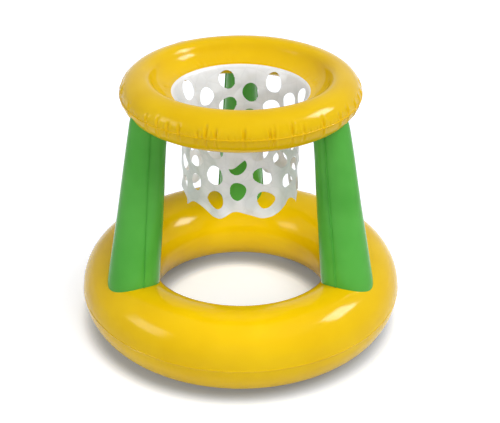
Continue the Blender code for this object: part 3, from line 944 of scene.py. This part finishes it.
# %% [markdown]
# ## The net's hem and holes
#
# The hem isn't level: it arches up between lobes, so each column of the grid has its own length.
# Holes are made as at the valves, by moving the points inside a hole's outline out to it. Two kinds
# of hole columns take turns: four holes above a lobe, and three above an arch, half a spacing lower.

# %% Grid of the net
NET_COLUMNS_FINE = 480
NET_ROWS_FINE = 96
ARCH_HALF_WIDTH = 0.041
ARCH_HEIGHT = 0.022


def net_grid():
    """The way round in hole columns, and the drop below the weld, of every grid point."""
    column = np.linspace(0, HOLE_COLUMNS, NET_COLUMNS_FINE, endpoint=False)[None, :]
    share = np.linspace(0, 1, NET_ROWS_FINE)[:, None]
    pitch = 2 * math.pi * NET_BOTTOM_RADIUS / HOLE_COLUMNS
    aside = (column + 1) % 2 - 1
    arch = (1 + np.cos(math.pi * np.clip(aside * pitch / ARCH_HALF_WIDTH, -1, 1))) / 2
    length = NET_LENGTH - ARCH_HEIGHT * arch
    return np.broadcast_to(column, (NET_ROWS_FINE, NET_COLUMNS_FINE)).copy(), share * length


net_column, net_drop = net_grid()
print(f"hem drops {net_drop[-1].min():.3f} m at an arch and {net_drop[-1].max():.3f} m at a lobe")

# %% Punch the holes
HOLE_RADIUS_NET = 0.0186
HOLE_SPACING = 0.0545
FIRST_HOLE_DROP = 0.0305
HOLE_ROWS = ((3, 0.5), (4, 0))
HOLE_REACH = 0.4
HOLE_SIZES = (0.94, 1.06)
OVAL_SHARE = 0.07
THREE_SIDED_SHARE = 0.04


def hole_outline(direction):
    """A hole's rim in a direction t: radius · (1 + a cos 2t + b cos 3t), as the punch drags film."""
    skew = net_rng.uniform(0, 2 * math.pi, 2)
    size = net_rng.uniform(*HOLE_SIZES)
    return HOLE_RADIUS_NET * size * (1 + OVAL_SHARE * np.cos(2 * direction + skew[0])
                                     + THREE_SIDED_SHARE * np.cos(3 * direction + skew[1]))


def punched(column, drop):
    """Grid points moved out of the holes, and a mask of the points that were inside.

    A point inside a hole keeps its direction from the hole's middle and takes the rim's distance.
    A hole stays round where the film is pulled apart, and narrows where it is gathered, which is
    read from the turn between two columns at the reach on both sides of it.
    """
    inside = np.zeros(column.shape, bool)
    for hole_column in range(HOLE_COLUMNS):
        rows, lowered = HOLE_ROWS[hole_column % 2]
        for row in range(rows):
            centre = FIRST_HOLE_DROP + HOLE_SPACING * (row + lowered)
            ends = np.array((hole_column - HOLE_REACH, hole_column + HOLE_REACH))
            turn = max(np.ptp(net_azimuth(ends, centre)) / (2 * HOLE_REACH),
                       2 * math.pi / HOLE_COLUMNS)
            pitch = turn * net_radius(centre)
            aside = (column - hole_column + HOLE_COLUMNS / 2) % HOLE_COLUMNS - HOLE_COLUMNS / 2
            arc = aside * pitch
            down = drop - centre
            direction = np.arctan2(down, arc)
            outline = hole_outline(direction)
            hit = np.hypot(arc, down) < outline
            moved = aside + (outline * np.cos(direction) - arc) / pitch
            column = np.where(hit, moved + hole_column, column)
            drop = np.where(hit, centre + outline * np.sin(direction), drop)
            inside |= hit
    return column, drop, inside


net_column, net_drop, in_hole = punched(net_column, net_drop)
net_kept = outside_holes(in_hole)
print("holes:", sum(HOLE_ROWS[k % 2][0] for k in range(HOLE_COLUMNS)))

# %% [markdown]
# ## Folds and creases
#
# Hanging film gathers into folds that deepen towards the free edge, and thin film also creases
# sharply. The folds are sines of the way round, and the creases are the sharp ridges of folded
# sines, 1 - |sin|, crossing each other. Beside the weld the film turns from the seam's plane into
# its fall, so a short lip rounds that corner.

# %% Folds of the net
FOLD_HEIGHTS = {3: 0.0022, 5: 0.0022, 8: 0.0035, 11: 0.0016, 16: 0.0014}
FOLD_SLANT = 1.5
FOLD_GROWTH = 1.2
CREASES = 7
CREASE_ORDERS = (5, 17)
CREASE_SLANTS = (6, 22)
CREASE_HEIGHT = 0.0009
CREASE_START = 0.25
NET_LIP = 0.0025


def net_folds(azimuth, share):
    """The height of the folds: a sum of sines of the way round, slanting on the way down."""
    fold = np.zeros_like(share)
    for order, height in FOLD_HEIGHTS.items():
        phase = net_rng.uniform(0, 2 * math.pi)
        slant = net_rng.uniform(-FOLD_SLANT, FOLD_SLANT)
        fold += height * np.sin(order * azimuth + slant * share + phase)
    return fold


def net_creases(azimuth, share):
    """The sum of the creases, each 1 - 2 |sin| of a steeply slanting way round."""
    crease = np.zeros_like(share)
    for _ in range(CREASES):
        order = net_rng.integers(*CREASE_ORDERS)
        slant = net_rng.uniform(*CREASE_SLANTS) * net_rng.choice((-1, 1))
        phase = net_rng.uniform(0, 2 * math.pi)
        crease += 1 - 2 * np.abs(np.sin((order * azimuth + slant * share + phase) / 2))
    return crease


def net_surface(column, drop):
    """Points of the hanging net: its tube with folds and creases that grow downwards."""
    share = np.clip(drop / NET_LENGTH, 0, 1)
    azimuth = net_azimuth(column, drop)
    folds = net_folds(azimuth, share) * share ** FOLD_GROWTH
    creases = CREASE_HEIGHT * net_creases(azimuth, share) * smooth_step(0, CREASE_START, share)
    lip = NET_LIP * (1 - np.exp(-drop / NET_LIP))
    radius = net_radius(drop) + folds + creases - lip
    height = HOOP_SEAM - drop + lip
    return np.stack((radius * np.cos(azimuth), radius * np.sin(azimuth), height), axis=-1)


net_points = net_surface(net_column, net_drop)
hem_radius = np.hypot(net_points[-1, :, 0], net_points[-1, :, 1])
print(f"folds move the hem between {hem_radius.min():.3f} m and {hem_radius.max():.3f} m")

# %% [markdown]
# ## The net as a sheet
#
# The area is measured on the same grid without its folds. The film is thinner than the rings', and
# its thickness lies evenly on both sides of the surface.

# %% Piece of the net
NET_FILM = 0.0002


net = place_piece("net_film", grid_mesh("net_film", net_points[:, ::-1], True, net_kept[:, ::-1]),
                  net_film, "inflated_body", "net")
give_wall(net, NET_FILM, 0)

# %% [markdown]
# ## Moulded vinyl
#
# A push-in valve is soft clear PVC, injection moulded. Beside the film it looks duller, because the
# mould leaves a fine satin grain, and it is slightly milky. The real grain is finer than the one
# drawn here, which is just coarse enough to show.

# %% Moulded PVC material
GRAIN_MM = 0.6
BLOOM_MM = 6


def moulded_pvc(name, colour, alpha):
    """Soft clear moulded PVC with a fine satin grain."""
    material, tree, output, place = new_material(name)
    grain = add(tree, "ShaderNodeTexNoise", {"Vector": place, "Scale": 1000 / GRAIN_MM,
                                             "Detail": 3})
    cloud = add(tree, "ShaderNodeTexNoise", {"Vector": place, "Scale": 1000 / BLOOM_MM})
    gloss = add(tree, "ShaderNodeMapRange", {"Value": cloud.outputs["Fac"], "From Min": 0.3,
                                             "From Max": 0.7, "To Min": 0.25, "To Max": 0.38})
    bump = add(tree, "ShaderNodeBump", {"Height": grain.outputs["Fac"], "Strength": 0.6,
                                        "Distance": 0.00003})
    shader = add(tree, "ShaderNodeBsdfPrincipled",
                 {"Base Color": linear(colour), "Roughness": gloss.outputs["Result"], "IOR": 1.53,
                  "Alpha": alpha, "Normal": bump.outputs["Normal"]})
    tree.links.new(shader.outputs["BSDF"], output.inputs["Surface"])
    return material


clear_pvc = moulded_pvc("clear_moulded_pvc", "#E4E9E6", 0.9)
print("valve material:", clear_pvc.name)

# %% [markdown]
# ## Turned and swept shapes
#
# A moulded valve is made of turned shapes: a profile of radius and height, with rounded corners,
# carried round the valve's axis. Its strap and its ear are flat bars, carried along a short path
# that may bend. Both come out as grids, like the film.

# %% Turned shapes
TURN_COLUMNS = 64
CORNER = 0.00025
CORNER_POINTS = 4
CORNER_LIMIT_SHARE = 0.45


def rounded(profile):
    """A closed profile with each corner replaced by an arc.

    Each corner is cut back by the same length along both its edges, and a quadratic curve through
    the corner joins the two cuts: (1-t)²·a + 2t(1-t)·corner + t²·b.
    """
    profile = np.asarray(profile, float)
    before = np.roll(profile, 1, axis=0) - profile
    after = np.roll(profile, -1, axis=0) - profile
    reach_before = np.linalg.norm(before, axis=1)[:, None]
    reach_after = np.linalg.norm(after, axis=1)[:, None]
    cut = np.minimum(CORNER, np.minimum(reach_before, reach_after) * CORNER_LIMIT_SHARE)
    start = profile + before / reach_before * cut
    end = profile + after / reach_after * cut
    t = np.linspace(0, 1, CORNER_POINTS)[None, :, None]
    arcs = ((1 - t) ** 2 * start[:, None] + 2 * t * (1 - t) * profile[:, None]
            + t ** 2 * end[:, None])
    return arcs.reshape(-1, 2)


def turned(outline):
    """Points of an outline of (radius, height) carried round the Z axis."""
    angle = np.linspace(0, 2 * math.pi, TURN_COLUMNS, endpoint=False)
    radius = outline[:, :1]
    height = np.broadcast_to(outline[:, 1:], (len(outline), TURN_COLUMNS))
    return np.stack((radius * np.cos(angle), radius * np.sin(angle), height), axis=-1)


def turned_ring(profile):
    """A closed profile carried round the axis, with its first row repeated last."""
    outline = rounded(profile)
    return turned(np.concatenate((outline, outline[:1])))


def turned_cap(profile):
    """An open profile that starts and ends on the axis, carried round it."""
    profile = np.asarray(profile, float)
    outline = rounded(profile)[CORNER_POINTS:-CORNER_POINTS]
    return turned(np.concatenate((profile[:1], outline, profile[-1:])))


print(f"corners are rounded over {1000 * CORNER} mm, with {CORNER_POINTS} points each")

# %% Swept bar
BAR_STEPS = 24
BAR_POWER = 0.35


def swept_bar(path, width, thickness):
    """Points of a bar with rounded edges along a path of (x, z) points, with closed ends.

    Its section is a rounded rectangle, width · cos and thickness · sin of an angle, each raised to
    a small power that keeps the sides flat.
    """
    def flattened(wave):
        """The wave's size raised to a small power, with its sign kept."""
        return np.sign(wave) * np.abs(wave) ** BAR_POWER

    path = smooth_curve(path, BAR_STEPS)
    course = np.gradient(path, axis=0)
    course /= np.linalg.norm(course, axis=1)[:, None]
    angle = np.linspace(0, 2 * math.pi, BAR_STEPS, endpoint=False)
    side = flattened(np.cos(angle)) * width / 2
    rise = flattened(np.sin(angle)) * thickness / 2
    x = path[:, :1] - course[:, 1:] * rise
    z = path[:, 1:] + course[:, :1] * rise
    y = np.broadcast_to(side, x.shape)
    bar = np.stack((x, y, z), axis=-1)
    ends = [np.broadcast_to(bar[k].mean(axis=0), bar[k].shape)[None] for k in (0, -1)]
    return np.concatenate((ends[0], bar, ends[1]))


print("a bar has", BAR_STEPS, "steps along it and", BAR_STEPS, "round it")

# %% [markdown]
# ## Pieces of a valve
#
# A flange is welded to the film and a stem slides in it. The stem has a lip on top, a bead below
# that stops it, and an ear on one side. The plug is a cap with a pin, and its strap is joined to
# the ear. All five valves are alike, so their shapes are worked out once, in a seat's own axes.
# The check flap is inside the film, where only its finish is needed.

# %% Shapes of a valve
BORE = 0.0035
STEM = 0.0055
LIP = 0.0068
FLANGE = 0.0105
GAP = 0.0003
FLANGE_RISE = 0.0012
FLANGE_SLOPE = 0.002
FLANGE_EDGE = 0.0006
LIP_LOW, LIP_TOP = 0.0015, 0.0027
CAP_LOW, CAP_TOP = 0.0030, 0.0044
CAP_CHAMFER = 0.0012
CAP_EDGE = 0.0003
PIN_END = 0.0023
PIN_BOTTOM = -0.0028
BEAD_TOP, STEM_BOTTOM = -0.00955, -0.01055
STRAP_WIDTH = 0.004
STRAP_THICKNESS = 0.0008
STRAP_BENDS = ((0.0085, 0.0001), (0.0105, -0.0001))
EAR_MIDDLE = 0.009
lip_middle = (LIP_LOW + LIP_TOP) / 2
cap_middle = (CAP_LOW + CAP_TOP) / 2

flange = turned_ring([(STEM + GAP, GAP), (STEM + GAP, FLANGE_RISE),
                      (FLANGE - FLANGE_SLOPE, FLANGE_RISE), (FLANGE, FLANGE_EDGE), (FLANGE, GAP)])
stem = turned_ring([(BORE, LIP_TOP), (LIP, LIP_TOP), (LIP, LIP_LOW), (STEM, LIP_LOW),
                    (STEM, BEAD_TOP), (LIP, BEAD_TOP), (LIP, STEM_BOTTOM), (BORE, STEM_BOTTOM)])
ear = swept_bar([(STEM, lip_middle), (EAR_MIDDLE, lip_middle), (HINGE_REACH - GAP, lip_middle)],
                STRAP_WIDTH, STRAP_THICKNESS)
cap = turned_cap([(0, CAP_TOP), (LIP - CAP_CHAMFER, CAP_TOP), (LIP, CAP_TOP - CAP_EDGE),
                  (LIP, CAP_LOW), (BORE - GAP, CAP_LOW), (PIN_END, PIN_BOTTOM), (0, PIN_BOTTOM)])
strap = swept_bar([(STEM, cap_middle), *((reach, cap_middle + up) for reach, up in STRAP_BENDS),
                   (HINGE_REACH, HINGE_RISE + STRAP_THICKNESS)], STRAP_WIDTH, STRAP_THICKNESS)
print(f"valve: flange {2000 * FLANGE:.0f} mm across, stem {2000 * STEM:.0f} mm")

# %% Valve pieces
WELD_DISTANCE = 1e-6
SLIVER = 1e-7
SHARP_ANGLE = 50


def seated_piece(name, shapes, seat, body, node):
    """One piece made of grids in a seat's own axes, moved to the seat."""
    work = bmesh.new()
    for shape in shapes:
        world = shape @ np.array(seat.to_3x3()).T + np.array(seat.translation)
        part = grid_mesh(name, world, True)
        work.from_mesh(part)
        bpy.data.meshes.remove(part)
    bmesh.ops.remove_doubles(work, verts=work.verts, dist=WELD_DISTANCE)
    bmesh.ops.dissolve_degenerate(work, edges=work.edges, dist=SLIVER)
    bmesh.ops.recalc_face_normals(work, faces=work.faces)
    mesh = bpy.data.meshes.new(name)
    work.to_mesh(mesh)
    work.free()
    mesh.shade_smooth()
    mesh.set_sharp_from_angle(angle=math.radians(SHARP_ANGLE))
    return place_piece(name, mesh, clear_pvc, body, node)


for name, seat in seats.items():
    seated_piece(name + "_valve_weld_flange", [flange], seat, "inflated_body",
                 name + "_valve_flange")
    seated_piece(name + "_valve_push_stem", [stem, ear], seat, name + "_stem", name + "_valve_stem")
    seated_piece(name + "_valve_strap_plug", [cap, strap], seat, name + "_plug",
                 name + "_valve_plug")
    flap = frame["nodes"][name + "_valve_flap"]
    flap.data.materials.clear()
    flap.data.materials.append(clear_pvc)
print("valves:", ", ".join(seats))

# %% [markdown]
# ## Lamps
#
# A catalogue picture of a glossy object needs two kinds of light. Far, wide lamps light the film
# evenly from the hoop down to the base: one high on the right throws the soft shadow, and others
# fill in from the front, the right and the left. A soft spot lightens the far inside wall of the
# base. Near the object, two boxes are only mirrored in the film, and draw its form with highlights.
# A sun is used for each far lamp, because its light doesn't fall off between the hoop and the base.

# %% Lamp helpers
AIM = Vector((0, 0, 0.25))
SUN_DISTANCE = 3
SPOT_RADIUS = 0.1


def lamp_object(name, kind, azimuth, elevation, distance, strength):
    """A lamp on a sphere round the object, facing it."""
    turn, rise = math.radians(azimuth), math.radians(elevation)
    away = Vector((math.cos(turn) * math.cos(rise), math.sin(turn) * math.cos(rise), math.sin(rise)))
    lamp = bpy.data.lights.new(name, kind)
    lamp.energy = strength
    thing = bpy.data.objects.new(name, lamp)
    thing.location = AIM + distance * away
    thing.rotation_euler = (-away).to_track_quat("-Z", "Y").to_euler()
    thing.visible_camera = False
    bpy.context.scene.collection.objects.link(thing)
    return thing


def far_lamp(name, azimuth, elevation, strength, spread):
    """Light from one side, as wide as the spread in degrees, that no surface mirrors."""
    thing = lamp_object(name, "SUN", azimuth, elevation, SUN_DISTANCE, strength)
    thing.data.angle = math.radians(spread)
    thing.visible_glossy = False


def spot_lamp(name, azimuth, elevation, distance, strength, opening, flatness, aim):
    """A spot with a soft, flat elliptical beam, aimed at one place."""
    thing = lamp_object(name, "SPOT", azimuth, elevation, distance, strength)
    thing.location += aim - AIM
    thing.scale.y = flatness
    thing.data.spot_size = math.radians(opening)
    thing.data.spot_blend = 1
    thing.data.shadow_soft_size = SPOT_RADIUS
    thing.visible_glossy = False


def mirror_box(name, azimuth, elevation, distance, width, height, strength, edge):
    """A rectangular lamp that is only mirrored in the film.

    Its light rises from its rim inwards, over the given share of its width and height.
    """
    thing = lamp_object(name, "AREA", azimuth, elevation, distance, strength)
    thing.data.shape = "RECTANGLE"
    thing.data.size, thing.data.size_y = width, height
    thing.visible_diffuse = False
    thing.data.use_nodes = True
    tree = thing.data.node_tree
    across = add(tree, "ShaderNodeSeparateXYZ",
                 {0: tree.nodes.new("ShaderNodeNewGeometry").outputs["Parametric"]})
    from_side = add(tree, "ShaderNodeMath", {0: across.outputs[0], 1: 0.5}, operation="PINGPONG")
    from_end = add(tree, "ShaderNodeMath", {0: across.outputs[1], 1: 0.5}, operation="PINGPONG")
    from_rim = add(tree, "ShaderNodeMath", {0: from_side.outputs[0], 1: from_end.outputs[0]},
                   operation="MINIMUM")
    level = add(tree, "ShaderNodeMapRange", {"Value": from_rim.outputs[0], "From Max": edge},
                interpolation_type="SMOOTHSTEP")
    tree.links.new(level.outputs["Result"], tree.nodes["Emission"].inputs["Strength"])


print("lamps face", list(AIM))

# %% Lamps
far_lamp("key_light", -35, 64, 1.8, 40)
far_lamp("front_light", -95, 22, 0.7, 34)
far_lamp("right_light", 0, 35, 0.35, 50)
far_lamp("left_light", 190, 25, 0.4, 50)
spot_lamp("inner_wall_light", -90, 20, 2.2, 90, 16, 0.4, Vector((0, BASE_INNER, BASE_SEAM)))
mirror_box("right_mirror_box", 0, 42, 2.4, 0.95, 0.8, 72, 0.12)
mirror_box("left_mirror_box", -158, 25, 2.6, 1.7, 1.2, 62, 0.35)

# %% [markdown]
# ## Floor and sky
#
# The floor of a catalogue picture burns out to white wherever no shadow lies on it. Here it is pale
# matt paper that glows a little. Near the object a contact shadow is painted: where an Ambient
# Occlusion node finds it near, the glow is dimmer and the paper bluer, which keeps that painted
# shadow grey. The glow shows only to the camera, to mirrors and through clear film, so it doesn't
# light the object from below. The sky works in the same way: it is full white for those rays, and
# dim where it lights the object.

# %% Floor
FLOOR_SIZE = 14
FLOOR_GLOW = 0.5
CONTACT_SHADOW_GLOW = 0.12
CONTACT_REACH = 0.05
CONTACT_LOW, CONTACT_HIGH = 0.4, 0.8
FLOOR_CORNERS = [[(-1, -1, 0), (1, -1, 0)], [(-1, 1, 0), (1, 1, 0)]]


def seen_directly(tree):
    """1 for a ray of the camera, of a mirroring surface or of a clear one, and 0 for all others."""
    path = add(tree, "ShaderNodeLightPath", {})
    seen = path.outputs["Is Camera Ray"]
    for kind in ("Is Glossy Ray", "Is Transmission Ray"):
        seen = add(tree, "ShaderNodeMath", {0: seen, 1: path.outputs[kind]},
                   operation="MAXIMUM").outputs[0]
    return seen


def white_floor(name, painted_shadow_tint, open_floor):
    """Matt white paper that glows for direct rays, with a dimmer, bluer painted shadow near the
    object.
    """
    material, tree, output, place = new_material(name)
    seen = seen_directly(tree)
    # Painted contact shadow: near the object the Ambient Occlusion node dims the glow and blues the
    # paper.
    near = add(tree, "ShaderNodeAmbientOcclusion", {"Distance": CONTACT_REACH}, samples=16)
    apart = add(tree, "ShaderNodeMapRange", {"Value": near.outputs["AO"],
                                             "From Min": CONTACT_LOW, "From Max": CONTACT_HIGH})
    paper_with_painted_shadow = add(tree, "ShaderNodeMix", {"Factor": apart.outputs["Result"], 6: linear(painted_shadow_tint),
                                       7: linear(open_floor)}, data_type="RGBA")
    glow_with_painted_shadow = add(tree, "ShaderNodeMapRange", {"Value": apart.outputs["Result"],
                                             "To Min": CONTACT_SHADOW_GLOW, "To Max": FLOOR_GLOW})
    glow = add(tree, "ShaderNodeMath", {0: seen, 1: glow_with_painted_shadow.outputs["Result"]},
               operation="MULTIPLY")
    shader = add(tree, "ShaderNodeBsdfPrincipled",
                 {"Base Color": paper_with_painted_shadow.outputs[2], "Roughness": 0.7, "Specular IOR Level": 0,
                  "Emission Color": (1, 1, 1, 1), "Emission Strength": glow.outputs[0]})
    tree.links.new(shader.outputs["BSDF"], output.inputs["Surface"])
    return material


floor_mesh = grid_mesh("studio_floor", np.array(FLOOR_CORNERS, float) * FLOOR_SIZE / 2)
floor = bpy.data.objects.new("studio_floor", floor_mesh)
bpy.context.scene.collection.objects.link(floor)
# The first colour is the bluer paper of the painted contact shadow.
floor_mesh.materials.append(white_floor("white_studio_floor", "#B6BECE", "#E0E3EA"))
print("floor:", FLOOR_SIZE, "m wide")

# %% Sky
SKY = 0.25
world = bpy.data.worlds.new("studio")
world.use_nodes = True
bpy.context.scene.world = world
tree = world.node_tree
tree.nodes.clear()
output = tree.nodes.new("ShaderNodeOutputWorld")
level = add(tree, "ShaderNodeMapRange", {"Value": seen_directly(tree), "To Min": SKY,
                                         "To Max": 1})
background = add(tree, "ShaderNodeBackground", {"Color": (1, 1, 1, 1),
                                                "Strength": level.outputs["Result"]})
tree.links.new(background.outputs["Background"], output.inputs["Surface"])
bpy.context.scene.view_settings.view_transform = "Standard"
print("sky: 1 where it is seen, and", SKY, "where it lights the object")
